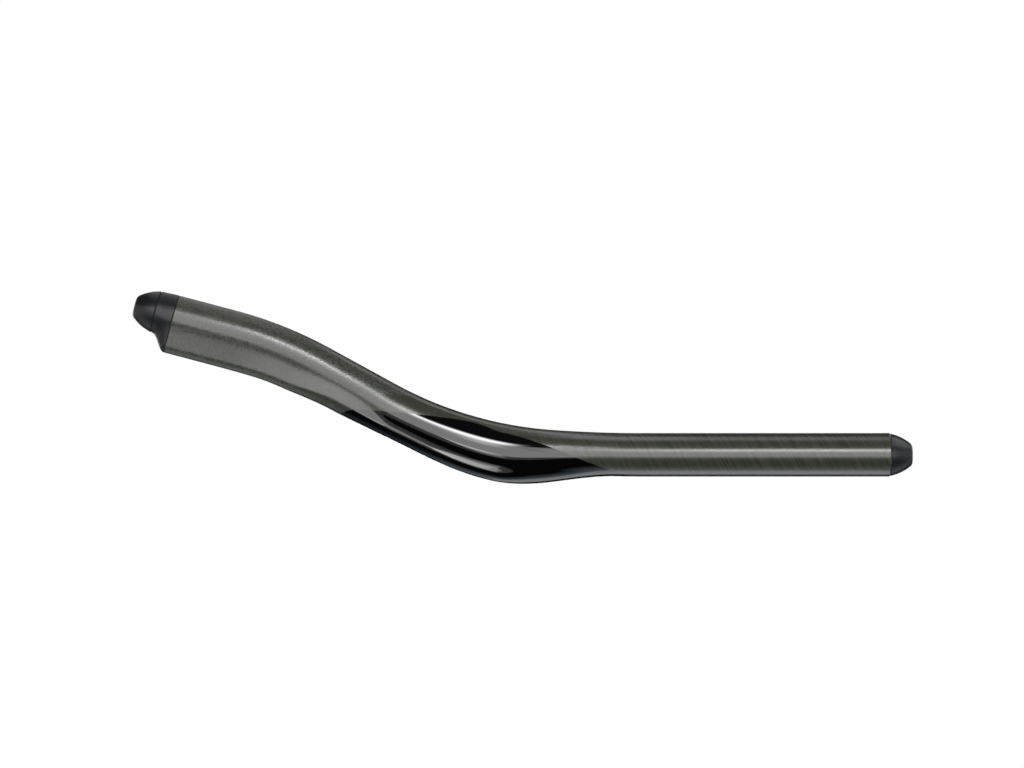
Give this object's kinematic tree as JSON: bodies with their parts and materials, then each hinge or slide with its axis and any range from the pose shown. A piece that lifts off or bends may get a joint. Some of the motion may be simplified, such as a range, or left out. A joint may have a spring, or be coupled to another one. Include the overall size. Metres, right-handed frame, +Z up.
{
  "type": "aero handlebar extension",
  "caption": "Hollow moulded bar extension: straight round clamp tail, S-bend rising to a keeled hand grip, tip adapter and tapered push-in end plugs.",
  "frame": {"origin": "on the axis of the straight round clamp tail, half way along the tail", "axes": "+X along the tail's axis to its free rear end, +Z up, the hand grip at -X; the part is symmetric about the XZ plane"},
  "size_m": [0.3971, 0.0224, 0.0981],
  "materials": {
    "tube": "satin clear coat over carbon fibre, gritty at the grip, gloss black panel under the belly",
    "adapter": "satin moulded nylon",
    "plug": "satin moulded plastic"
  },
  "bodies": {
    "root": {"extension_tube": "tube", "tip_adapter": "adapter", "front_plug": "plug", "rear_plug": "plug"}
  },
  "joints": []
}
